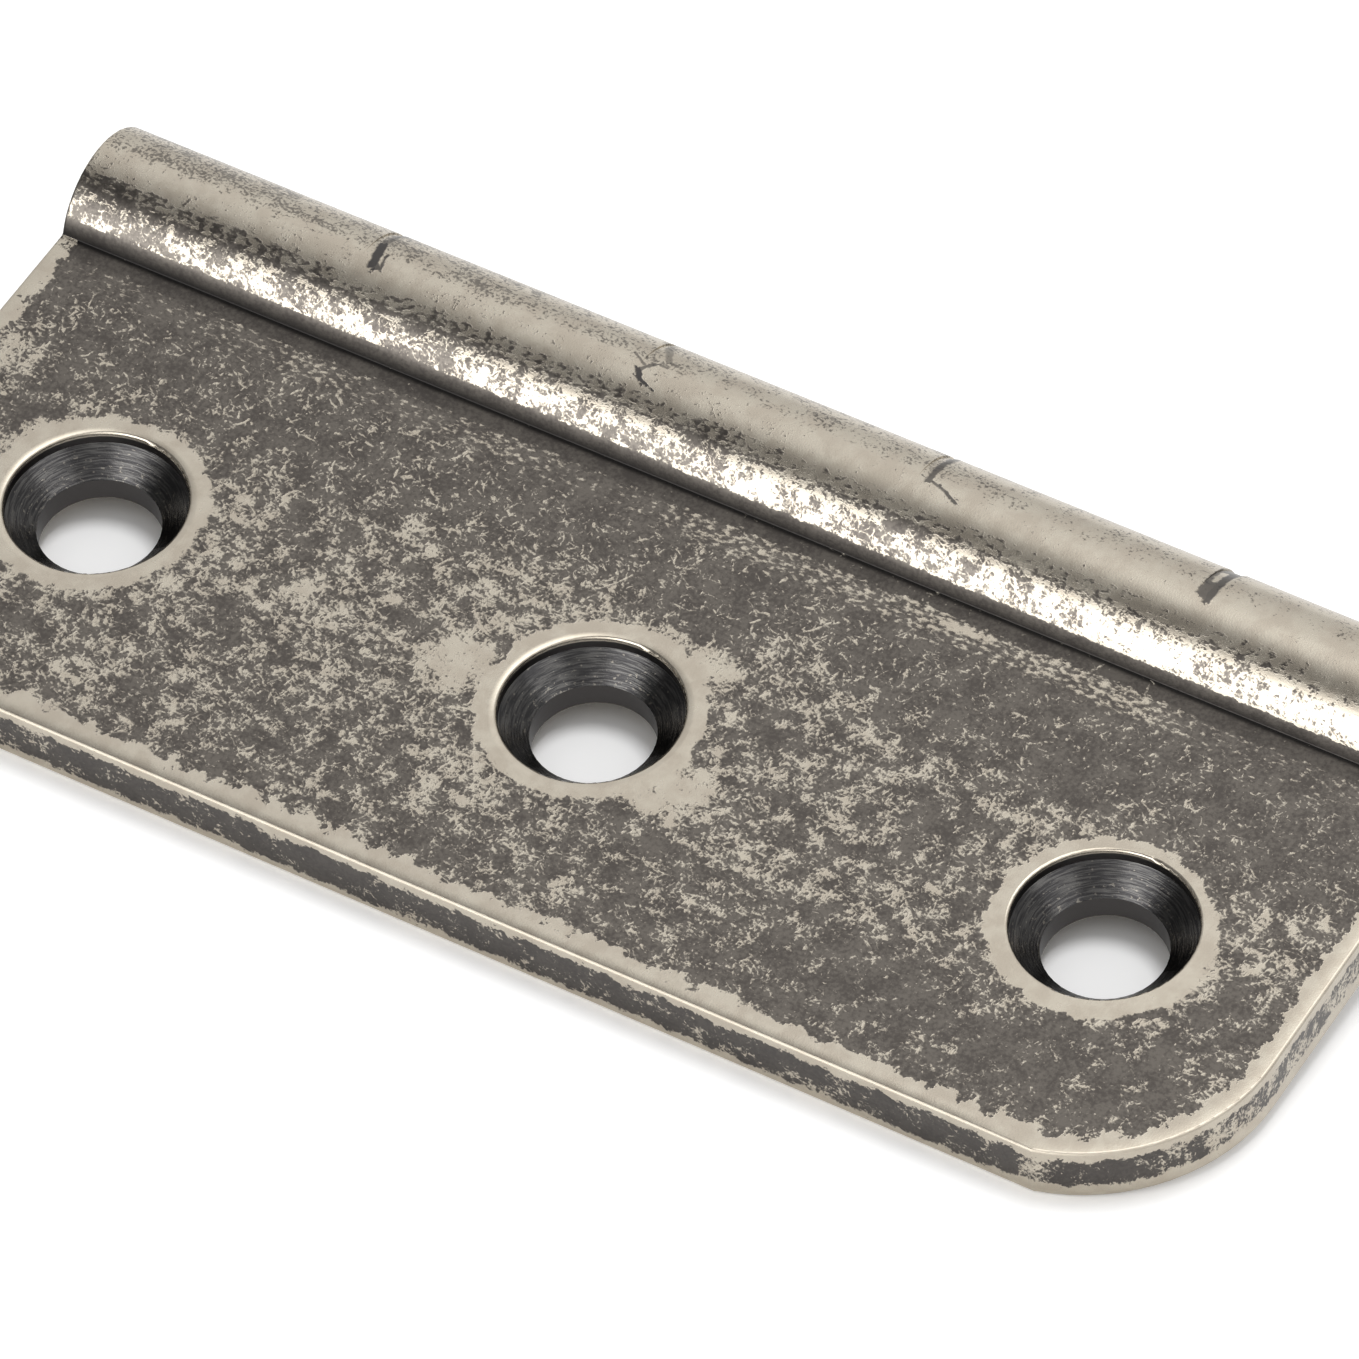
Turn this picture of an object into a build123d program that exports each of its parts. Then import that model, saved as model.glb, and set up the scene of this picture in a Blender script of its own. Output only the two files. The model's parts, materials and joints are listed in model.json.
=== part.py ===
from build123d import *
import os

# Dummy butt hinge: one leaf with a solid barrel along its rear edge, all one piece of metal.
# The origin is on the middle screw hole's axis, at the back face that lies against the wood.
# +X runs along the hinge, +Y towards the barrel, +Z out of the countersunk face. Millimetres.

# Leaf
LEAF_LENGTH = 76.2
LEAF_THICKNESS = 3.0
HOLES_TO_FRONT_EDGE = 13.1
HOLES_TO_BARREL_AXIS = 17.6
CORNER_RADIUS = 9.75
# The front edge was taken down after the corners were rounded, so they meet it at a slight angle.
FRONT_EDGE_TAKEN_DOWN = 0.35

# Barrel
BARREL_DIAMETER = 7.9
BARREL_AXIS_ABOVE_BACK = 1.7
BARREL_ROOT_RADIUS = 0.12

# Knuckle lines: shallow cuts round the barrel's outer half that mark it off into mock knuckles
KNUCKLE_LINE_WIDTHS = [0.5, 0.3, 0.5, 1.0]
KNUCKLE_LINE_DEPTH = 0.12

# Screw holes: a short upright wall, a cone, then the bore
HOLE_COUNT = 3
HOLE_SPACING = 27.3
BORE_DIAMETER = 6.0
COUNTERSINK_DIAMETER = 8.8
COUNTERSINK_WALL_DEPTH = 0.64
COUNTERSINK_CONE_DEPTH = 1.12

# Worn edges
EDGE_EASE = 0.15
RIM_EASE = 0.15

# Worked out from the sizes above
barrel_radius = BARREL_DIAMETER / 2
leaf_rear = HOLES_TO_BARREL_AXIS + barrel_radius
knuckle_length = LEAF_LENGTH / (len(KNUCKLE_LINE_WIDTHS) + 1)


def section():
    """The leaf and barrel seen from the end, with the two roots of the barrel filled."""
    width = HOLES_TO_FRONT_EDGE + HOLES_TO_BARREL_AXIS
    middle = (HOLES_TO_BARREL_AXIS - HOLES_TO_FRONT_EDGE) / 2
    profile = Pos(middle, LEAF_THICKNESS / 2) * Rectangle(width, LEAF_THICKNESS)
    profile += Pos(HOLES_TO_BARREL_AXIS, BARREL_AXIS_ABOVE_BACK) * Circle(barrel_radius)
    roots = profile.vertices().filter_by(lambda vertex: 0 < vertex.X < HOLES_TO_BARREL_AXIS)
    return Plane.YZ * fillet(roots, BARREL_ROOT_RADIUS)


def outline():
    """The hinge seen from above: corners rounded first, then the front edge taken down straight."""
    first_front = HOLES_TO_FRONT_EDGE + FRONT_EDGE_TAKEN_DOWN
    stock = Pos(0, (leaf_rear - first_front) / 2) * Rectangle(LEAF_LENGTH, leaf_rear + first_front)
    stock = fillet(stock.vertices().group_by(Axis.Y)[0], CORNER_RADIUS)
    kept = Pos(0, (leaf_rear - HOLES_TO_FRONT_EDGE) / 2)
    return stock & kept * Rectangle(LEAF_LENGTH, leaf_rear + HOLES_TO_FRONT_EDGE)


def blank():
    """The section run along the hinge's length and cut to the outline, with its edges eased."""
    body = extrude(section(), LEAF_LENGTH / 2, both=True) & extrude(outline(), BARREL_DIAMETER, both=True)
    upright = body.edges().filter_by(Axis.Z)
    roots = body.edges().filter_by(Axis.X).filter_by(lambda edge: edge.center().Y > 0)
    return fillet(body.edges() - upright - roots, EDGE_EASE)


def screw_hole():
    """The tool for one hole, on its axis above the back face: bore, cone and upright wall."""
    bore = BORE_DIAMETER / 2
    rim = COUNTERSINK_DIAMETER / 2
    wall_foot = LEAF_THICKNESS - COUNTERSINK_WALL_DEPTH
    cone_foot = wall_foot - COUNTERSINK_CONE_DEPTH
    above = 2 * LEAF_THICKNESS
    below = -LEAF_THICKNESS
    half = [(0, below), (bore, below), (bore, cone_foot), (rim, wall_foot), (rim, above), (0, above)]
    return revolve(Plane.XZ * make_face(Polyline(half, close=True)), Axis.Z)


def knuckle_line(width):
    """The tool for one line: deepest at the outermost point, run out to nothing at crown and foot."""
    barrel_axis = Pos(HOLES_TO_BARREL_AXIS, BARREL_AXIS_ABOVE_BACK)
    floor = Pos(-KNUCKLE_LINE_DEPTH) * Circle(barrel_radius)
    clear_of_leaf = Pos(barrel_radius) * Rectangle(3 * barrel_radius, 2 * BARREL_DIAMETER)
    cut = (Circle(BARREL_DIAMETER) - floor) & clear_of_leaf
    return extrude(Plane.YZ * barrel_axis * cut, width / 2, both=True)


def hinge_leaf():
    """The finished piece: the blank with its screw holes, eased rims and knuckle lines."""
    leaf = blank()
    for index in range(HOLE_COUNT):
        leaf -= Pos((index - (HOLE_COUNT - 1) / 2) * HOLE_SPACING) * screw_hole()
    countersunk_face = leaf.faces().filter_by(Axis.Z).sort_by(Axis.Z)[-1]
    rims = ShapeList(edge for wire in countersunk_face.inner_wires() for edge in wire.edges())
    leaf = fillet(rims, RIM_EASE)
    for index, width in enumerate(KNUCKLE_LINE_WIDTHS, start=1):
        leaf -= Pos(index * knuckle_length - LEAF_LENGTH / 2) * knuckle_line(width)
    return leaf


os.makedirs("parts", exist_ok=True)
leaf = hinge_leaf()
print("hinge leaf: solids", len(leaf.solids()), "volume mm3", round(leaf.volume, 1), leaf.bounding_box())
export_step(leaf.solid(), "parts/hinge_leaf.step")
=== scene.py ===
import json
import math

import bpy
from mathutils import Matrix, Vector


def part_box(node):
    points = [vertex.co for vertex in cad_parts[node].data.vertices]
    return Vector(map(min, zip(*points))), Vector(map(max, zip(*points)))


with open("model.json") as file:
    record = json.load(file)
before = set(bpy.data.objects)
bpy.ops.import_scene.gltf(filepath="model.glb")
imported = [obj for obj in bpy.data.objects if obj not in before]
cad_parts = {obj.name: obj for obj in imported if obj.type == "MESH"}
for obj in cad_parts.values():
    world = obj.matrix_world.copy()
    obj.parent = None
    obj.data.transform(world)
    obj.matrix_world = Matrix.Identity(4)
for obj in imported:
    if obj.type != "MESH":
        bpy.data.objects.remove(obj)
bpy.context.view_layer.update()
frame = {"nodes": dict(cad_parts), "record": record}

bl_info = {
    "name": "Aged dummy butt hinge",
    "version": (1, 0, 0),
    "blender": (4, 5, 0),
    "location": "3D View > Sidebar > Hinge",
    "description": "Gives the hinge leaf its worn dark patina and lays it on a pale table",
    "category": "Object",
}

LEAF_NODE = "hinge_leaf"
LEAF_SLOT = "aged_pewter"
MM_PER_M = 1000
MIX_SOCKETS = {"FLOAT": (2, 3, 0), "VECTOR": (4, 5, 1), "RGBA": (6, 7, 2)}

# In millimetres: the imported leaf's fillets, how near counts as flush, the least length to divide by, and
# how far off the back face's pattern lies
EDGE_EASE = 0.15
RIM_EASE = 0.15
FLUSH = 0.02
TINY = 0.001
UNDERSIDE_SHIFT = 90

leaf_low, leaf_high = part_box(LEAF_NODE)
leaf_mounts = {mount["name"]: mount for mount in frame["record"]["mounts"]}


# Shader maths

class Wire:
    """One output of a node. Sums on it add Math nodes, so shader maths reads as plain expressions."""

    def __init__(self, graph, socket):
        self.graph = graph
        self.socket = socket

    def math(self, operation, *others):
        return self.graph.node("Math", {"operation": operation}, dict(enumerate((self, *others))))

    def after(self, operation, first):
        return self.graph.node("Math", {"operation": operation}, {0: first, 1: self})

    def __add__(self, other):
        return self.math("ADD", other)

    def __radd__(self, other):
        return self.math("ADD", other)

    def __sub__(self, other):
        return self.math("SUBTRACT", other)

    def __rsub__(self, other):
        return self.after("SUBTRACT", other)

    def __mul__(self, other):
        return self.math("MULTIPLY", other)

    def __rmul__(self, other):
        return self.math("MULTIPLY", other)

    def __truediv__(self, other):
        return self.math("DIVIDE", other)

    def __pow__(self, other):
        return self.math("POWER", other)

    def __neg__(self):
        return self.math("MULTIPLY", -1)

    def __abs__(self):
        return self.math("ABSOLUTE")

    def __gt__(self, other):
        return self.math("GREATER_THAN", other)

    def __lt__(self, other):
        return self.math("LESS_THAN", other)

    def at_least(self, other):
        return self.math("MAXIMUM", other)

    def at_most(self, other):
        return self.math("MINIMUM", other)

    def rise(self, start, end):
        """0 below start and 1 above end, smooth between them. With start above end it falls instead."""
        names = ("Value", "From Min", "From Max", "To Min", "To Max")
        values = (self, start, end, 0.0, 1.0) if start < end else (self, end, start, 1.0, 0.0)
        return self.graph.node("MapRange", {"interpolation_type": "SMOOTHSTEP"}, dict(zip(names, values)))

    def within(self, start, end, soft):
        """1 between start and end, and 0 outside, smooth over soft at each side."""
        return self.rise(start - soft, start) * self.rise(end + soft, end)


class Graph:
    """A node tree being wired. Every node in it comes from node()."""

    def __init__(self, tree):
        self.tree = tree
        self.tree.nodes.clear()

    def node(self, kind, settings=None, sockets=None, output=0):
        """Adds one node: its settings first, then the value or link of each socket, named or numbered."""
        new = self.tree.nodes.new("ShaderNode" + kind)
        for name, value in (settings or {}).items():
            setattr(new, name, value)
        for name, value in (sockets or {}).items():
            if isinstance(value, Wire):
                self.tree.links.new(value.socket, new.inputs[name])
            else:
                new.inputs[name].default_value = value
        return Wire(self, new.outputs[output]) if new.outputs else new

    def mix(self, kind, share, first, second):
        """first where share is 0 and second where it is 1. kind is FLOAT, VECTOR or RGBA."""
        a, b, out = MIX_SOCKETS[kind]
        return self.node("Mix", {"data_type": kind}, {0: share, a: first, b: second}, out)

    def vector(self, operation, *operands):
        return self.node("VectorMath", {"operation": operation}, dict(enumerate(operands)))

    def combine(self, x, y, z=0.0):
        return self.node("CombineXYZ", {}, {"X": x, "Y": y, "Z": z})

    def split(self, vector):
        return [self.node("SeparateXYZ", {}, {"Vector": vector}, axis) for axis in ("X", "Y", "Z")]

    def noise(self, at, size, detail=2.0, roughness=0.5, output=0):
        """Cloudy noise about 0.5, with lumps about size across."""
        sockets = {"Vector": at, "Scale": 1 / size, "Detail": detail, "Roughness": roughness}
        return self.node("TexNoise", {"noise_dimensions": "2D"}, sockets, output)

    def moved(self, at, x, y, turn=0.0, stretch=(1.0, 1.0)):
        """The coordinates of a copy of the pattern that is stretched, turned and moved to x, y."""
        sockets = {"Vector": at, "Location": (x, y, 0), "Rotation": (0, 0, turn), "Scale": (*stretch, 1)}
        return self.node("Mapping", {"vector_type": "TEXTURE"}, sockets)


# Settings

class HingeShape(bpy.types.PropertyGroup):
    """Sizes of the leaf that its wear follows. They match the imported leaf."""

    thickness: bpy.props.FloatProperty(
        name="Leaf thickness", description="From back face to countersunk face",
        default=0.003, unit="LENGTH")
    corner_radius: bpy.props.FloatProperty(
        name="Corner radius", description="Of the two front corners", default=0.00975, unit="LENGTH")
    corner_overrun: bpy.props.FloatProperty(
        name="Corner overrun", description="How far the corner arcs would run past the front edge",
        default=0.00035, unit="LENGTH")
    rim_radius: bpy.props.FloatProperty(
        name="Rim radius", description="Of each countersink at the leaf's face",
        default=0.0044, unit="LENGTH")
    bore_radius: bpy.props.FloatProperty(
        name="Bore radius", description="Of each screw hole at the back face", default=0.003, unit="LENGTH")
    wall_depth: bpy.props.FloatProperty(
        name="Wall depth", description="Of the upright wall under each rim", default=0.00064, unit="LENGTH")
    cone_depth: bpy.props.FloatProperty(
        name="Cone depth", description="Of each countersink's cone", default=0.00112, unit="LENGTH")
    hole_spacing: bpy.props.FloatProperty(
        name="Hole spacing", description="From one screw hole's axis to the next",
        default=leaf_mounts["outer_screw_holes"]["dims"]["spacing_x_mm"] / 2 / MM_PER_M, unit="LENGTH")


class HingeFinish(bpy.types.PropertyGroup):
    """Colours and gloss of the worn patina."""

    bare_colour: bpy.props.FloatVectorProperty(
        name="Bare metal", description="Where handling wore the patina away",
        default=(0.56, 0.51, 0.425), subtype="COLOR", size=3, min=0, max=1)
    patina_colour: bpy.props.FloatVectorProperty(
        name="Patina", description="The dark skin that is left",
        default=(0.150, 0.135, 0.119), subtype="COLOR", size=3, min=0, max=1)
    bare_stain: bpy.props.FloatVectorProperty(
        name="Bare metal stain", description="Where a little patina clouds the bare metal",
        default=(0.51, 0.455, 0.375), subtype="COLOR", size=3, min=0, max=1)
    patina_stain: bpy.props.FloatVectorProperty(
        name="Patina stain", description="The darker clouds in the patina",
        default=(0.092, 0.082, 0.074), subtype="COLOR", size=3, min=0, max=1)
    hole_colour: bpy.props.FloatVectorProperty(
        name="Hole patina", description="The darker skin in the holes and knuckle lines",
        default=(0.075, 0.070, 0.068), subtype="COLOR", size=3, min=0, max=1)
    # Painted shade and a painted reflection, laid over the patina in the corner between leaf and barrel
    painted_crevice_shade_colour: bpy.props.FloatVectorProperty(
        name="Crevice patina", description="The blackest skin, in the corner between leaf and barrel",
        default=(0.0165, 0.0155, 0.015), subtype="COLOR", size=3, min=0, max=1)
    ring_dark: bpy.props.FloatVectorProperty(
        name="Cone, dark rings", description="The darker turning rings on the cones",
        default=(0.047, 0.046, 0.047), subtype="COLOR", size=3, min=0, max=1)
    ring_light: bpy.props.FloatVectorProperty(
        name="Cone, light rings", description="The paler turning rings on the cones",
        default=(0.108, 0.105, 0.101), subtype="COLOR", size=3, min=0, max=1)
    bare_roughness: bpy.props.FloatProperty(
        name="Bare roughness", description="Gloss of the bare metal", default=0.25, subtype="FACTOR")
    patina_roughness: bpy.props.FloatProperty(
        name="Patina roughness", description="Gloss of the patina", default=0.32, subtype="FACTOR")
    cone_roughness: bpy.props.FloatProperty(
        name="Cone roughness", description="Gloss of the turned cones", default=0.15, subtype="FACTOR")
    edge_roll: bpy.props.FloatProperty(
        name="Edge roll", description="How far in from the outline the face starts to roll down",
        default=0.00078, unit="LENGTH")
    rim_roll: bpy.props.FloatProperty(
        name="Rim roll", description="How far out from the worn rims the face starts to roll down",
        default=0.00043, unit="LENGTH")
    front_band: bpy.props.FloatProperty(
        name="Front band", description="Width of the bare band along the front edge",
        default=0.00105, unit="LENGTH")
    end_band: bpy.props.FloatProperty(
        name="End band", description="Width of the bare band along the two ends",
        default=0.0008, unit="LENGTH")
    side_band: bpy.props.FloatProperty(
        name="Side band", description="Width of the bare strip down the side faces",
        default=0.0004, unit="LENGTH")
    rim_band: bpy.props.FloatProperty(
        name="Rim band", description="Width of the bare ring round each countersink",
        default=0.0009, unit="LENGTH")
    stroke_length: bpy.props.FloatProperty(
        name="Stroke length", description="Length of the longest scuffs", default=0.0008, unit="LENGTH")
    stroke_width: bpy.props.FloatProperty(
        name="Stroke width", description="Width of the longest scuffs", default=0.00022, unit="LENGTH")


class HingeStage(bpy.types.PropertyGroup):
    """The table, the studio light and the camera."""

    table_radius: bpy.props.FloatProperty(
        name="Table radius", description="Of the round table top", default=3.0, unit="LENGTH")
    table_colour: bpy.props.FloatVectorProperty(
        name="Table", description="Colour of the table", default=(0.9, 0.9, 0.9),
        subtype="COLOR", size=3, min=0, max=1)
    table_lift: bpy.props.FloatProperty(
        name="Table lift", description="How many times paler the table is in the picture itself",
        default=1.17, min=1)
    # Left off under the holes, where its absence paints shade on the table
    table_glow: bpy.props.FloatProperty(
        name="Table glow", description="Light that the table adds outside the holes, where it is looked at",
        default=0.19, min=0)
    key_share: bpy.props.FloatProperty(
        name="Key", description="Share of the table's light that the lamp overhead gives",
        default=0.39, min=0)
    key_spread: bpy.props.FloatProperty(
        name="Key spread", description="How wide the lamp overhead looks from the table",
        default=math.radians(25), subtype="ANGLE")
    key_lean: bpy.props.FloatProperty(
        name="Key lean", description="Of the lamp overhead, towards the barrel's side",
        default=math.radians(17.5), subtype="ANGLE")
    fill_share: bpy.props.FloatProperty(
        name="Fill", description="Share of the table's light that comes from all round", default=0.61, min=0)
    view_azimuth: bpy.props.FloatProperty(
        name="Azimuth", description="Of the camera, round from the front edge towards +X",
        default=math.radians(33.9), subtype="ANGLE")
    view_elevation: bpy.props.FloatProperty(
        name="Elevation", description="Of the camera above the leaf's plane",
        default=math.radians(48.89), subtype="ANGLE")
    view_roll: bpy.props.FloatProperty(
        name="Roll", description="Of the camera about its line of sight",
        default=math.radians(-4.28), subtype="ANGLE")
    view_distance: bpy.props.FloatProperty(
        name="Distance", description="From the camera to the point it looks at",
        default=0.574, unit="LENGTH")
    view_centre: bpy.props.FloatVectorProperty(
        name="Looks at", description="The point in the middle of the picture",
        default=(0.00122, 0.00569, 0), subtype="XYZ", unit="LENGTH", size=3)
    lens: bpy.props.FloatProperty(
        name="Lens", description="Focal length in millimetres on a 36 mm sensor",
        default=324.9, min=1)


# The leaf's own coordinates, in millimetres and degrees

class LeafMap:
    """Where a point of the leaf lies, told as wires: from its edges, rims and barrel, and unrolled flat."""

    def __init__(self, graph, shape):
        place = graph.node("TexCoord", {}, {}, "Object")
        place = graph.node("VectorMath", {"operation": "SCALE"}, {0: place, "Scale": MM_PER_M})
        self.x, self.y, self.z = graph.split(place)
        self.thickness = shape.thickness * MM_PER_M
        self.half_length = leaf_high.x * MM_PER_M
        self.wall_foot = self.thickness - shape.wall_depth * MM_PER_M
        self.bore_top = self.wall_foot - shape.cone_depth * MM_PER_M
        self.front = -leaf_low.y * MM_PER_M
        self.barrel_radius = (leaf_high.z - leaf_low.z) / 2 * MM_PER_M
        self.barrel_y = leaf_high.y * MM_PER_M - self.barrel_radius
        self.barrel_z = leaf_low.z * MM_PER_M + self.barrel_radius
        rise = self.thickness - self.barrel_z
        self.root_y = self.barrel_y - math.sqrt(self.barrel_radius ** 2 - rise ** 2)
        self.root_angle = 180 - math.degrees(math.asin(rise / self.barrel_radius))
        self.on_barrel = self.y > self.root_y
        self.on_back = self.z < FLUSH / 2
        self.find_edges(shape)
        self.find_rims(shape)
        self.find_barrel()
        self.unroll(graph)

    def find_edges(self, shape):
        """How far in from the outline, and which way the nearest edge faces."""
        radius = shape.corner_radius * MM_PER_M
        overrun = shape.corner_overrun * MM_PER_M
        across = abs(self.x) - (self.half_length - radius)
        along = -self.y - (self.front + overrun - radius)
        out_x = across.at_least(0)
        out_y = along.at_least(0)
        reach = (out_x ** 2 + out_y ** 2).math("SQRT")
        inner = across.at_least(along).at_most(0)
        end_inset = self.half_length - abs(self.x)
        front_inset = self.y + self.front
        self.inset = (radius - reach - inner).at_most(front_inset)
        share = reach.at_least(TINY)
        facing_end = (across > along) * (reach < TINY)
        self.facing_x = (out_x / share).at_least(facing_end) * self.x.math("SIGN")
        self.facing_y = -(out_y / share)
        self.depth = self.thickness - self.z
        self.on_side = self.depth.at_most(self.z).rise(0.10, 0.25) * self.inset.rise(0.2, 0.1)
        self.on_side = self.on_side * (1 - self.on_barrel)
        self.on_end = (end_inset < FLUSH) * self.on_barrel

    def find_rims(self, shape):
        """How far outside the nearest countersink's rim, or outside its bore on the back face."""
        spacing = shape.hole_spacing * MM_PER_M
        hole = (self.x / spacing).math("ROUND")
        self.hole_x = self.x - hole * spacing
        from_axis = (self.hole_x ** 2 + self.y ** 2).math("SQRT")
        narrower = (shape.rim_radius - shape.bore_radius) * MM_PER_M
        self.rim_inset = from_axis - shape.rim_radius * MM_PER_M + self.on_back * narrower

    def find_barrel(self):
        """The angle round the barrel from its rear over its crown, and the distance from its axis."""
        back = self.y - self.barrel_y
        up = self.z - self.barrel_z
        self.barrel_angle = up.math("ARCTAN2", back).math("DEGREES")
        self.axis_distance = (back ** 2 + up ** 2).math("SQRT")
        self.on_round = self.on_barrel * (1 - self.on_end)
        self.on_crown = self.on_round * self.barrel_angle.rise(108, 95)
        self.underneath = (self.z < 0.3) * (1 - self.on_barrel)

    def unroll(self, graph):
        """Flat coordinates that run on over the eased edges and round the barrel, apart underneath."""
        turn = (self.root_angle - self.barrel_angle) * (math.radians(1) * self.barrel_radius)
        inward = (self.barrel_radius - self.axis_distance) * self.x.math("SIGN")
        leaf_u = self.x + self.facing_x * self.depth
        leaf_v = self.y + self.facing_y * self.depth
        u = graph.mix("FLOAT", self.on_round, leaf_u, self.x + inward)
        v = graph.mix("FLOAT", self.on_round, leaf_v, turn + self.root_y)
        self.flat = graph.combine(u + self.underneath * UNDERSIDE_SHIFT, v)


# The wear, in steps of about 1: a half is bare at 0, a quarter at -1, a tenth at -2, and all at WHOLLY

LEAF_WEAR = -2.5
LEAST_LEAF_WEAR = -3.0
BARREL_WEAR = 1.9
BARREL_END_WEAR = 1.2
WHOLLY = 9
CLOUD_WEAR = 3.5
ROOT_WEAR = -3.9
BESIDE_BARREL_WEAR = 0.7
BUSY_WEAR = 1.3
BARREL_CLOUD_WEAR = 6.0
BARREL_WEAR_PER_MM = 0.035
FOOT_DRIFT = 0.05
FOOT_ANGLES = (147.8, 151.2)
LEAF_STEPS = (
    # how much more is worn, and between which y it comes in
    (1.5, 8.5, 4.5),
    (-0.5, -3.5, -9.0),
)
BARREL_BANDS = (
    # how much more is worn, the angles that it lies between, and how soft its sides are
    (1.9, 88, 104, 10),
    (-1.1, 110, 122, 4),
    (-1.4, 122, 147, 4),
)
WORN_PLACES = (
    # centre x, y and reach x, y in millimetres, then how much more is worn there
    (-37.0, 6.0, 4.0, 3.5, 3.0),
    (-31.0, 1.6, 2.7, 2.8, 5.5),
    (-27.0, -4.6, 4.0, 1.6, 2.5),
    (-22.5, 1.5, 3.0, 3.0, 0.4),
    (-21.4, -3.0, 2.4, 2.4, 1.4),
    (-21.5, -9.2, 2.6, 2.4, 1.7),
    (-12.5, 6.2, 2.2, 2.2, 1.4),
    (-23.0, -12.3, 5.0, 1.0, 2.8),
    (20.5, -12.4, 3.0, 1.0, 1.8),
    (-15.4, -0.2, 2.6, 2.4, 1.8),
    (-7.1, -0.4, 2.3, 2.1, 3.8),
    (-8.0, 3.0, 4.0, 2.5, 0.9),
    (2.6, 4.9, 3.4, 1.6, 3.5),
    (5.6, -2.4, 2.8, 2.6, 4.0),
    (-3.2, -6.6, 2.6, 2.6, 2.0),
    (-3.6, 6.2, 2.4, 2.2, 1.6),
    (6.8, 6.5, 2.0, 3.2, 0.9),
    (14.5, 3.0, 2.2, 2.0, 0.8),
    (12.8, 6.4, 2.6, 2.2, -1.2),
    (32.0, -1.0, 1.8, 2.6, 3.4),
    (35.0, -3.0, 2.6, 4.0, -1.6),
    (28.5, -5.0, 3.0, 1.4, 1.9),
    (31.0, -13.3, 0.9, 0.9, 4.0),
    (13.0, 12.4, 2.0, 0.4, 3.0),
    (-33.8, 5.5, 2.6, 4.0, -2.0),
    (-37.0, 12.0, 3.0, 2.0, -1.6),
    (-18.5, -4.0, 2.4, 3.0, -0.9),
    (-16.8, 3.6, 3.4, 2.2, -1.1),
    (8.6, 3.4, 2.2, 2.2, -1.0),
    (17.3, 0.6, 3.0, 3.2, -1.5),
    (14.5, -6.4, 2.4, 2.0, -1.2),
    (19.6, 8.4, 6.6, 4.0, -2.1),
    (32.0, 7.2, 7.0, 4.2, -1.6),
    (22.0, -9.0, 9.0, 4.0, -2.2),
    (30.8, -8.2, 6.4, 3.8, -3.2),
)

KNUCKLE_LINES = 4
KNUCKLE_STROKES = (
    # which line, where the dark starts and ends along and round the barrel, how wide, how dark
    (1, 0.00, 0.24, -85, 50, 0.50, 0.8),
    (1, 0.24, 0.22, 50, 76, 0.38, 0.7),
    (1, 0.20, 0.58, 72, 99, 0.48, 1.0),
    (1, 0.82, 1.00, 81, 97, 0.18, 0.9),
    (1, 0.60, 0.95, 93, 98, 0.45, 0.9),
    (2, 0.00, 0.27, -85, 57, 0.32, 0.4),
    (2, 0.25, 0.95, 57, 76, 0.42, 0.55),
    (2, -0.58, 0.02, 81, 87, 0.28, 0.7),
    (2, 0.55, 0.00, 82, 93, 0.30, 0.8),
    (2, -0.15, 0.42, 91, 101, 0.34, 1.0),
    (2, 0.42, 0.90, 100, 103, 0.45, 1.0),
    (3, 0.00, 0.28, -85, 55, 0.45, 0.8),
    (3, 0.28, 0.33, 53, 89, 0.38, 0.85),
    (3, 0.45, 1.30, 87, 91, 0.50, 0.8),
    (3, 1.25, 2.10, 90, 97, 0.38, 0.9),
    (4, 0.00, 0.00, -85, 54, 1.00, 0.8),
    (4, -0.42, -0.42, 52, 91, 0.22, 0.8),
    (4, 0.20, 0.20, 50, 95, 0.42, 0.9),
    (4, -0.15, -0.10, 74, 92, 0.70, 0.85),
)

NOISE_LEVELS = {
    # name: mean, and the usual swing about it
    "clumps": (0.5, 0.081),
    "coarse": (0.627, 0.083),
    "fine": (0.604, 0.09),
    "grit": (0.5, 0.099),
    "streaks": (0.5, 0.091),
}
FIELD_SHARES = {
    # name: share on the leaf, and what is added to it in the calm strip and on the barrel's crown
    "clumps": (0.68, -0.26, -0.24),
    "coarse": (0.46, 0.30, -0.22),
    "fine": (0.40, 0.0, 0.0),
    "grit": (0.36, 0.0, 0.24),
}


def strokes(graph, at, length, width, turns, offset):
    """Short scuffs in several directions: high along the middle of each."""
    field = None
    for index in range(turns):
        angle = math.pi * (index + 0.35 * math.sin(7.1 * index)) / turns
        copy = graph.moved(at, offset + 31.7 * index, offset - 17.3 * index, angle, (length, width))
        ridge = graph.noise(copy, 1.0, detail=1.0, roughness=0.4)
        field = ridge if field is None else field.at_least(ridge)
    return field


def bent(graph, at, size, push):
    """The coordinates pushed about by a noise, so that straight scuffs curl."""
    colour = graph.noise(at, size, detail=1.0, output=1)
    shove = graph.vector("SUBTRACT", colour, (0.5, 0.5, 0.5))
    shove = graph.vector("MULTIPLY", shove, (push, push, 0))
    return graph.vector("ADD", at, shove)


def even(noise, name):
    """The noise brought to 0 on average and 1 at its usual swing."""
    mean, swing = NOISE_LEVELS[name]
    return (noise - mean) / swing


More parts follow.
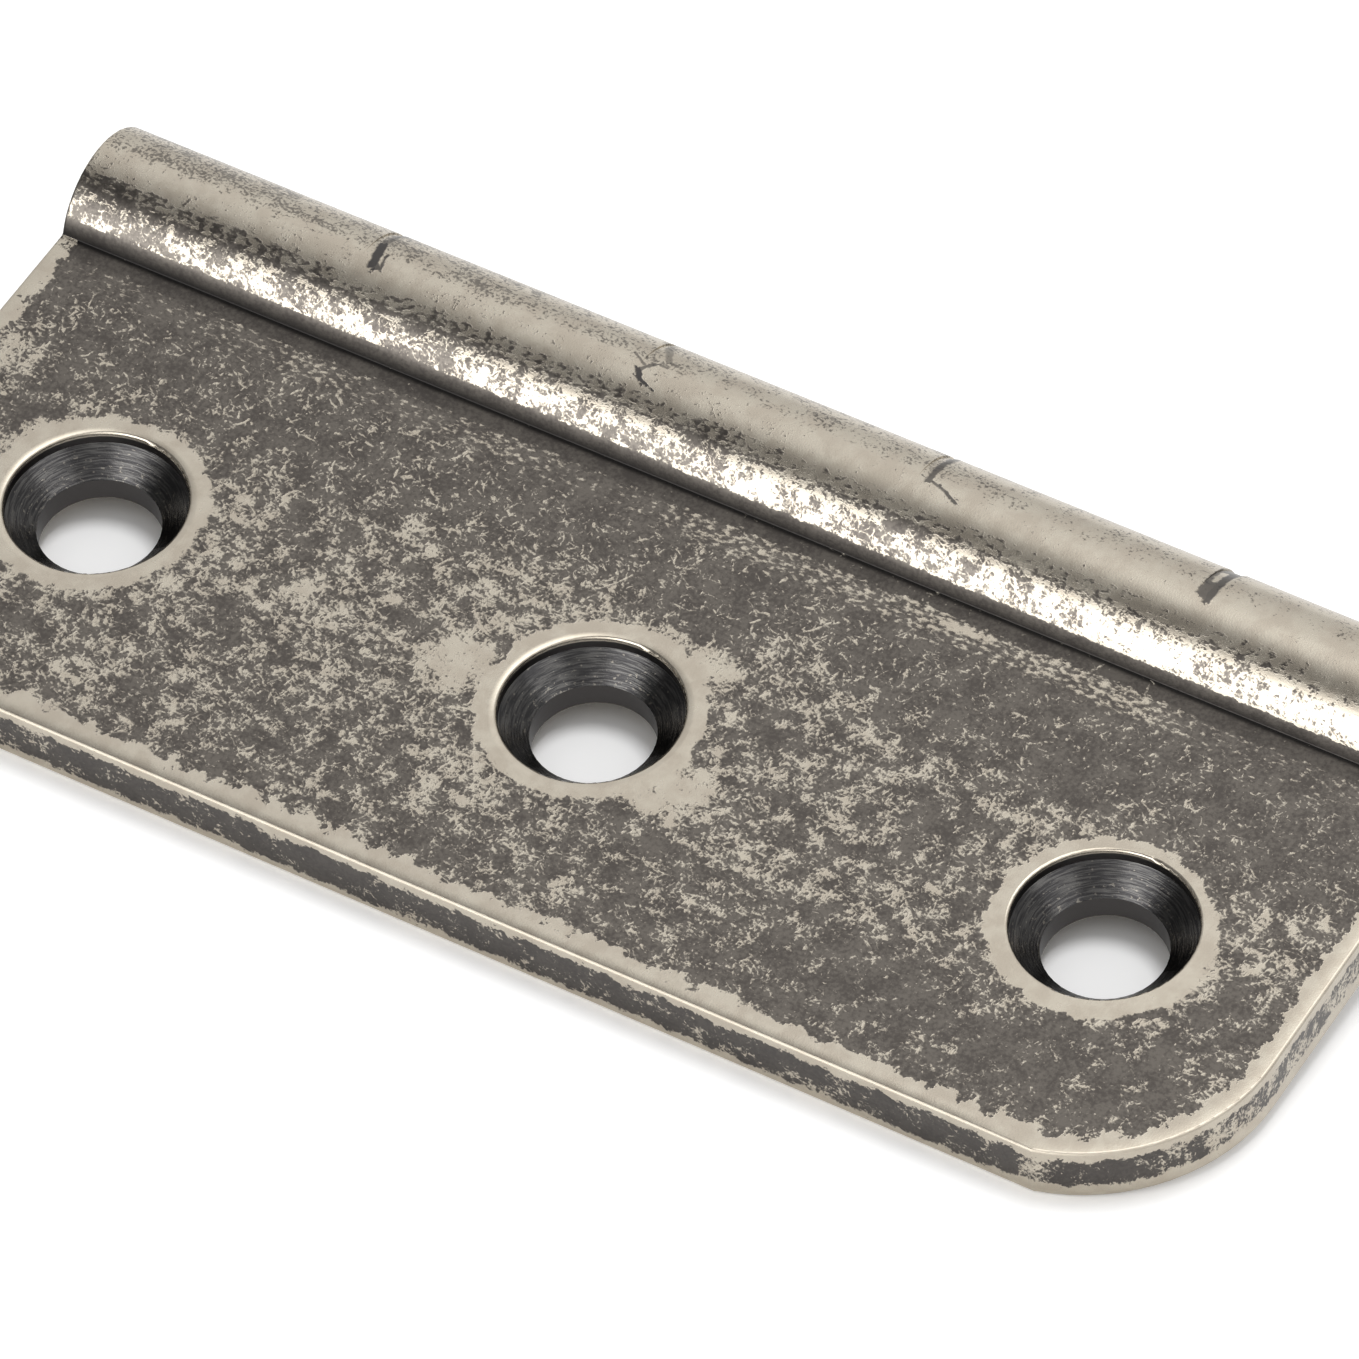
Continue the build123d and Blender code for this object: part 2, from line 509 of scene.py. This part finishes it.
def scuff_field(graph, leaf, finish):
    """Scuffs, clumps and grit in one field, about 0 on average and 1 at its usual swing."""
    at = bent(graph, leaf.flat, 0.9, 0.35)
    length = finish.stroke_length * MM_PER_M
    width = finish.stroke_width * MM_PER_M
    noises = {
        "clumps": graph.noise(graph.moved(at, 0, 0, 0, (1.2, 1.0)), 1.05, detail=4.0, roughness=0.7),
        "coarse": strokes(graph, at, length, width, 4, 0.0),
        "fine": strokes(graph, at, length * 0.5, width * 0.55, 3, 200.0),
        "grit": graph.noise(leaf.flat, 0.17, detail=2.0, roughness=0.6),
    }
    calm = leaf.y.rise(4.5, 8.0) * (1 - leaf.on_barrel)
    field = 0
    for name, noise in noises.items():
        share, when_calm, when_crown = FIELD_SHARES[name]
        share = share + when_calm * calm + when_crown * leaf.on_crown
        field = field + even(noise, name) * share

    streaks = graph.noise(graph.moved(leaf.flat, 90, 0, 0, (1.8, 1.0)), 0.24, detail=3.0, roughness=0.6)
    above_highlight = leaf.barrel_angle.within(107, 121, 4) * leaf.on_round
    beside_barrel = leaf.y.within(11.5, 12.8, 0.6) * (1 - leaf.on_barrel)
    streaked = above_highlight.at_least(beside_barrel)
    return graph.mix("FLOAT", streaked * 0.75, field, even(streaks, "streaks"))


def steps(wire, table):
    """The sum of soft steps, each told by its height and where it starts and ends."""
    return sum(height * wire.rise(start, end) for height, start, end in table)


def worn_leaf(graph, leaf):
    """How worn the leaf is, away from its edges."""
    wear = LEAF_WEAR + steps(leaf.y, LEAF_STEPS)
    beside_barrel = leaf.y.rise(10.8, 11.8)
    busier = leaf.x.within(2, 22, 4)
    wear = wear + beside_barrel * (BESIDE_BARREL_WEAR + BUSY_WEAR * busier)
    for x, y, reach_x, reach_y, more in WORN_PLACES:
        off = ((leaf.x - x) / reach_x) ** 2 + ((leaf.y - y) / reach_y) ** 2
        wear = wear + (1 - off).at_least(0) * more
    clouds = graph.noise(leaf.flat, 4.5, detail=2.0, roughness=0.5) - 0.5
    wear = (wear + clouds * CLOUD_WEAR).math("SMOOTH_MAX", LEAST_LEAF_WEAR, 1.0)
    at_root = leaf.y.rise(12.75, 13.3)
    return wear + ROOT_WEAR * at_root


def band(inset, width, ragged):
    """High within width of an edge or rim, with a ragged border."""
    return (inset + ragged - width).rise(0.30, -0.20) * WHOLLY


def worn_edges(graph, leaf, finish):
    """How much more the leaf is worn along its outline and round its rims."""
    ragged = (graph.noise(leaf.flat, 1.1, detail=4.0, roughness=0.6) - 0.5) * 2.2
    top = leaf.inset.at_least(leaf.depth)
    bottom = leaf.inset.at_least(leaf.z)
    end, front, side = (
        width * MM_PER_M for width in (finish.end_band, finish.front_band, finish.side_band))
    width = end + (front - end) * leaf.y.rise(-9, -12)
    width = graph.mix("FLOAT", leaf.on_side, width, side)
    wear = band(top, width, ragged * (1 - 0.6 * leaf.on_side))
    at_corner = abs(leaf.x).rise(28, 31)
    wear = wear.at_least(band(bottom, 0.42 + 0.28 * at_corner, ragged * 0.3))
    at_right_hole = leaf.x.rise(14, 20)
    ring = finish.rim_band * MM_PER_M - at_right_hole * (0.12 + leaf.y * 0.05)
    return wear.at_least(band(leaf.rim_inset, ring, ragged * 0.5))


def worn_barrel(graph, leaf):
    """How worn the barrel is. The dark at its foot climbs by FOOT_DRIFT degrees for each millimetre of x."""
    angle = leaf.barrel_angle
    clouds = graph.noise(graph.moved(leaf.flat, 0, 0, 0, (2.0, 1.0)), 2.4, detail=3.0, roughness=0.6) - 0.5
    cloudy = BARREL_CLOUD_WEAR - 1.6 * leaf.on_crown
    wear = BARREL_WEAR + leaf.x * BARREL_WEAR_PER_MM + clouds * cloudy
    for more, first, last, soft in BARREL_BANDS:
        wear = wear + more * angle.within(first, last, soft)
    at_foot = (angle - leaf.x * FOOT_DRIFT).rise(*FOOT_ANGLES)
    return wear - WHOLLY * at_foot


# The steps of wear that a swing of the scuffs is worth, the sums of both between which the patina goes,
# and how far the barrel's crown is paled towards bare metal, a painted sheen
SWING_IN_STEPS = 1.7
PATINA_WHOLE = -0.9
PATINA_GONE = 1.1
CROWN_PAINTED_SHEEN = 0.2


def bareness(graph, leaf, finish):
    """1 where the metal is bare and 0 where the patina is whole, but kept above a painted sheen on the
    barrel's crown.
    """
    wear = worn_leaf(graph, leaf) + worn_edges(graph, leaf, finish)
    towards_end = abs(leaf.x).rise(33.5, 37.5)
    wear = wear + leaf.on_side * (2.1 * towards_end - 1.6)
    wear = graph.mix("FLOAT", leaf.on_barrel, wear, worn_barrel(graph, leaf))
    wear = graph.mix("FLOAT", leaf.on_end, wear, BARREL_END_WEAR)
    field = scuff_field(graph, leaf, finish)
    bare = (field + wear / SWING_IN_STEPS).rise(PATINA_WHOLE, PATINA_GONE)
    # Painted sheen: on the crown the patina is always paled part way towards bare metal
    return bare.at_least(leaf.on_crown * CROWN_PAINTED_SHEEN)


def knuckle_marks(graph, leaf):
    """How dark the patina is in and beside the knuckle lines, with ragged borders."""
    ragged = graph.noise(leaf.flat, 0.4, detail=3.0, roughness=0.6) - 0.5
    marks = None
    for line, first_x, last_x, first, last, width, dark in KNUCKLE_STROKES:
        start = (2 * line / (KNUCKLE_LINES + 1) - 1) * leaf.half_length + first_x
        drift = (leaf.barrel_angle - first) * ((last_x - first_x) / (last - first))
        off = abs(leaf.x - start - drift + ragged * 0.3)
        stroke = off.rise(width / 2 + 0.06, width / 2 - 0.06) * dark
        stroke = stroke * (leaf.barrel_angle + ragged * 10).within(first, last, 1.5)
        marks = stroke if marks is None else marks.at_least(stroke)
    return marks * leaf.on_round


def hole_parts(graph, leaf):
    """1 inside the screw holes, 1 on their cones, the turning rings on those, and their bright flecks."""
    below_rim = leaf.depth.rise(RIM_EASE + 0.01, RIM_EASE + 0.09)
    inside = (leaf.rim_inset < 2 * RIM_EASE) * below_rim * (1 - leaf.on_back)
    cone = inside * (leaf.z > leaf.bore_top) * (leaf.z < leaf.wall_foot)
    around = leaf.hole_x.math("ARCTAN2", leaf.y) * 0.16 + (leaf.x - leaf.hole_x)
    rings = graph.noise(graph.combine(around, leaf.z), 0.06, detail=3.0, roughness=0.6)
    grit = graph.noise(graph.combine(around * 9, leaf.z), 0.12, detail=2.0, roughness=0.6)
    near_bore = leaf.z.rise(leaf.wall_foot, leaf.bore_top)
    flecks = (grit + 0.08 * near_bore).rise(0.68, 0.80) * cone
    return inside, cone, rings, flecks


def rolled_edges(leaf, finish):
    """How far the face has rolled down along the outline and round the left and middle rims."""
    roll = finish.edge_roll * MM_PER_M
    eased = (EDGE_EASE - leaf.inset).at_least(0) ** 2 * (roll / EDGE_EASE)
    outline = ((roll - leaf.inset).at_least(0) ** 2 - eased) * (1 - leaf.on_barrel)
    rims = (finish.rim_roll * MM_PER_M - leaf.rim_inset).at_least(0) ** 2 * (leaf.rim_inset > 0)
    at_corner = abs(leaf.x).rise(26, 31)
    not_right_hole = leaf.x.rise(16, 11)
    return outline * (0.24 - 0.19 * at_corner) + rims * not_right_hole * 0.38


# Painted shade and a painted reflection: how much blacker the patina is made at the barrel's foot and the
# leaf's root
PAINTED_SHADE_ON_BARREL_FOOT = (
    # how much blacker, and between which angles that comes in
    (0.45, 146, 153),
    (0.55, 150, 163),
)
PAINTED_SHADE_ON_LEAF_ROOT = (
    # how much blacker, and between which y that comes in
    (0.28, 12.5, 13.0),
    (0.72, 13.5, 13.85),
)


def painted_crevice_shade(leaf):
    """How far the patina is blackened in the corner between leaf and barrel: painted shade and a painted
    reflection.
    """
    below = steps(leaf.barrel_angle - leaf.x * FOOT_DRIFT, PAINTED_SHADE_ON_BARREL_FOOT) * leaf.on_round
    on_face = (1 - leaf.on_barrel) * (1 - leaf.on_side) * (leaf.depth < 0.5)
    return below.at_least(steps(leaf.y, PAINTED_SHADE_ON_LEAF_ROOT) * on_face)


# Heights of the bump, in millimetres
GRAIN_HEIGHT = 0.0022
PATINA_HEIGHT = 0.006
RING_HEIGHT = 0.008

# How much rougher the mottle and the eased edges are, and how bare the flecks on the cones are
MOTTLE_ROUGHNESS = 0.12
EDGE_ROUGHNESS = 0.25
FLECK_BARE = 0.25


def aged_metal(shape, finish):
    """The hinge's one material."""
    material = bpy.data.materials.new(LEAF_SLOT + "_worn")
    material.use_nodes = True
    graph = Graph(material.node_tree)
    leaf = LeafMap(graph, shape)
    inside, cone, rings, flecks = hole_parts(graph, leaf)
    marks = knuckle_marks(graph, leaf)
    bare = bareness(graph, leaf, finish) * (1 - inside) * (1 - marks)

    mottle = graph.noise(leaf.flat, 1.6, detail=4.0, roughness=0.6)
    speckle = graph.noise(leaf.flat, 0.22, detail=2.0, roughness=0.6)
    stain = (mottle + speckle).rise(0.72, 1.28)
    patina = graph.mix("RGBA", stain, (*finish.patina_stain, 1), (*finish.patina_colour, 1))
    dark = inside.at_least(marks).at_least(leaf.on_side * 0.6)
    patina = graph.mix("RGBA", dark, patina, (*finish.hole_colour, 1))
    # Painted shade and a painted reflection blacken the patina in the corner between leaf and barrel
    patina = graph.mix("RGBA", painted_crevice_shade(leaf), patina, (*finish.painted_crevice_shade_colour, 1))
    metal = graph.mix("RGBA", mottle.rise(0.35, 0.65), (*finish.bare_stain, 1), (*finish.bare_colour, 1))
    colour = graph.mix("RGBA", bare, patina, metal)
    turned = graph.mix("RGBA", rings.rise(0.38, 0.66), (*finish.ring_dark, 1), (*finish.ring_light, 1))
    colour = graph.mix("RGBA", cone, colour, turned)
    colour = graph.mix("RGBA", flecks * FLECK_BARE, colour, (*finish.bare_colour, 1))

    roughness = graph.mix("FLOAT", bare, finish.patina_roughness, finish.bare_roughness)
    eased = leaf.inset.at_least(leaf.depth).rise(EDGE_EASE, 0.08) * (1 - leaf.on_barrel)
    roughness = roughness + (mottle - 0.5) * MOTTLE_ROUGHNESS + eased * EDGE_ROUGHNESS
    roughness = graph.mix("FLOAT", cone, roughness, finish.cone_roughness)

    grain = graph.noise(leaf.flat, 0.11, detail=2.0, roughness=0.6)
    height = grain * GRAIN_HEIGHT - bare * PATINA_HEIGHT + rings * cone * RING_HEIGHT
    height = height - rolled_edges(leaf, finish)
    bump = graph.node("Bump", {}, {"Height": height, "Distance": 1 / MM_PER_M, "Strength": 1.0})

    sockets = {"Base Color": colour, "Roughness": roughness, "Metallic": 1.0, "Normal": bump}
    surface = graph.node("BsdfPrincipled", {}, sockets)
    graph.node("OutputMaterial", {}, {"Surface": surface})
    return material


# The stage

def table_material(shape, stage):
    """A pale table, white where it is looked at. Its glow stays out of the leaf's three holes, which paints
    shade on the table seen through them.
    """
    material = bpy.data.materials.new("pale_table")
    material.use_nodes = True
    graph = Graph(material.node_tree)
    camera, glossy, through = (
        graph.node("LightPath", {}, {}, name)
        for name in ("Is Camera Ray", "Is Glossy Ray", "Is Transmission Ray"))
    seen = camera.at_least(glossy).at_least(through)
    x, y = graph.split(graph.node("TexCoord", {}, {}, "Object"))[:2]
    hole = (x / shape.hole_spacing).math("ROUND").at_least(-1).at_most(1)
    from_hole = ((x - hole * shape.hole_spacing) ** 2 + y ** 2).math("SQRT") / shape.rim_radius
    # Painted shade: no glow on the table under the holes
    glow_outside_painted_hole_shade = seen * from_hole.rise(1.05, 1.15)
    lifted = [part * stage.table_lift for part in stage.table_colour]
    colour = graph.mix("RGBA", camera, (*stage.table_colour, 1), (*lifted, 1))
    matt = graph.node("BsdfDiffuse", {}, {"Color": colour})
    glow = graph.node("Emission", {}, {"Strength": stage.table_glow})
    both = graph.node("AddShader", {}, {0: matt, 1: glow})
    lit = graph.node("MixShader", {}, {0: glow_outside_painted_hole_shade, 1: matt, 2: both})
    below = graph.node("NewGeometry", {}, {}, "Backfacing") * camera
    clear = graph.node("BsdfTransparent")
    surface = graph.node("MixShader", {}, {0: below, 1: lit, 2: clear})
    graph.node("OutputMaterial", {}, {"Surface": surface})
    return material


ROOM_LEVEL = 0.17
SOFT_SPOTS = (
    # towards x, y, z, then where its edge starts and ends, as cosines, and how bright it is
    (0.20, 0.30, 0.93, 0.857, 0.92, 1.8),
    (0.67, 0.05, 0.74, 0.93, 0.975, 0.7),
)


def studio_light():
    """A world of soft boxes: one behind and overhead, a dark gap, and a bright one across the front.

    Angles in degrees: over turns from behind over the top to the front, height is the elevation, and
    swing turns from the front towards +X.
    """
    world = bpy.data.worlds.new("studio")
    world.use_nodes = True
    graph = Graph(world.node_tree)
    x, y, z = graph.split(graph.node("TexCoord", {}, {}, "Generated"))
    over = z.math("ARCTAN2", y).math("DEGREES")
    height = z.math("ARCSINE").math("DEGREES")
    swing = x.math("ARCTAN2", -y).math("DEGREES")
    slant = 16 * x.rise(-0.43, -0.32) - 7
    fades_forward = (over - slant).rise(112, 38).at_least(x.rise(-0.1, 0.4))
    dims_left = 1 - 0.65 * x.rise(-0.6, -0.9)
    behind = 0.72 + 0.30 * over.rise(0, 52) - 0.45 * x.rise(-0.1, 0.7)
    behind = behind * dims_left * fades_forward
    across = swing.within(-52, 28, 8) * height.rise(5, 8) * (over + slant * 0.3).rise(113, 146)
    core = swing.rise(-48, -37) * swing.rise(16, -6)
    level = ROOM_LEVEL + 0.83 * behind + across * (1.0 + 2.8 * core)
    for to_x, to_y, to_z, start, end, bright in SOFT_SPOTS:
        level = level + bright * (x * to_x + y * to_y + z * to_z).rise(start, end)
    camera = graph.node("LightPath", {}, {}, "Is Camera Ray")
    strength = graph.mix("FLOAT", camera, level, 1.0)
    light = graph.node("Background", {}, {"Color": (1, 1, 1, 1), "Strength": strength})
    graph.node("OutputWorld", {}, {"Surface": light})
    return world


def table_lamp(name, share, spread, lean):
    """A lamp from above that leans back and that metal doesn't mirror. share is its part of white."""
    data = bpy.data.lights.new(name, "SUN")
    data.energy = share * math.pi / math.cos(lean)
    data.angle = spread
    lamp = bpy.data.objects.new(name, data)
    lamp.rotation_euler = (-lean, 0, 0)
    lamp.visible_glossy = False
    return lamp


def table_slope():
    """The table's height under the origin and its slope: the leaf rests on its front edge and its barrel."""
    radius = (leaf_high.z - leaf_low.z) / 2
    axis = Vector((0, leaf_high.y - radius, leaf_low.z + radius))
    edge = Vector((0, leaf_low.y, 0))
    span = axis - edge
    slope = math.atan2(span.z, span.y) - math.asin(radius / span.length)
    height = edge.z - math.tan(slope) * edge.y
    return height, slope


def studio_camera(stage):
    """The camera that the settings describe, looking at the leaf."""
    data = bpy.data.cameras.new("camera")
    data.lens = stage.lens
    data.sensor_width = 36
    data.clip_start = stage.view_distance * 0.1
    data.clip_end = stage.table_radius * 10
    camera = bpy.data.objects.new("camera", data)
    azimuth, elevation = stage.view_azimuth, stage.view_elevation
    flat = math.cos(elevation)
    back = Vector((math.sin(azimuth) * flat, -math.cos(azimuth) * flat, math.sin(elevation)))
    turned = back.to_track_quat("Z", "Y").to_matrix() @ Matrix.Rotation(stage.view_roll, 3, "Z")
    camera.matrix_world = turned.to_4x4()
    camera.location = Vector(stage.view_centre) + back * stage.view_distance
    return camera


# Operators

class HINGE_OT_dress_leaf(bpy.types.Operator):
    """Gives the leaf its worn patina"""

    bl_idname = "hinge.dress_leaf"
    bl_label = "Dress leaf"

    def execute(self, context):
        leaf = frame["nodes"][LEAF_NODE]
        if not leaf.material_slots:
            raise RuntimeError("the leaf has no material slot to fill")
        leaf.material_slots[0].material = aged_metal(context.scene.hinge_shape, context.scene.hinge_finish)
        return {"FINISHED"}


class HINGE_OT_set_stage(bpy.types.Operator):
    """Makes the table, the studio light and the camera"""

    bl_idname = "hinge.set_stage"
    bl_label = "Set stage"

    def execute(self, context):
        stage = context.scene.hinge_stage
        height, slope = table_slope()
        bpy.ops.mesh.primitive_circle_add(
            vertices=96, radius=stage.table_radius, fill_type="NGON",
            location=(0, 0, height), rotation=(slope, 0, 0))
        table = context.object
        table.name = "table"
        table.data.materials.append(table_material(context.scene.hinge_shape, stage))
        context.scene.world = studio_light()
        # Only the metal is lit by the world, because the table has lamps of its own
        context.scene.world.cycles_visibility.diffuse = False
        camera = studio_camera(stage)
        context.scene.camera = camera
        key = table_lamp("key", stage.key_share, stage.key_spread, stage.key_lean)
        fill = table_lamp("fill", stage.fill_share, math.pi, 0)
        for made in (camera, key, fill):
            context.scene.collection.objects.link(made)
        context.scene.view_settings.view_transform = "Standard"
        return {"FINISHED"}


class HINGE_PT_sidebar(bpy.types.Panel):
    """Lists the hinge's settings and operators"""

    bl_idname = "HINGE_PT_sidebar"
    bl_label = "Dummy butt hinge"
    bl_space_type = "VIEW_3D"
    bl_region_type = "UI"
    bl_category = "Hinge"

    def draw(self, context):
        for name in SETTINGS:
            box = self.layout.box()
            settings = getattr(context.scene, name)
            for field in settings.bl_rna.properties:
                if not field.is_readonly and field.identifier != "name":
                    box.prop(settings, field.identifier)
        for operator in OPERATORS:
            self.layout.operator(operator.bl_idname)


SETTINGS = {"hinge_shape": HingeShape, "hinge_finish": HingeFinish, "hinge_stage": HingeStage}
OPERATORS = (HINGE_OT_dress_leaf, HINGE_OT_set_stage)
CLASSES = (*SETTINGS.values(), *OPERATORS, HINGE_PT_sidebar)


def register():
    for made in CLASSES:
        bpy.utils.register_class(made)
    for name, group in SETTINGS.items():
        setattr(bpy.types.Scene, name, bpy.props.PointerProperty(type=group))


def unregister():
    for name in SETTINGS:
        delattr(bpy.types.Scene, name)
    for made in reversed(CLASSES):
        bpy.utils.unregister_class(made)


def main():
    register()
    bpy.ops.hinge.dress_leaf()
    bpy.ops.hinge.set_stage()


if __name__ == "__main__":
    main()
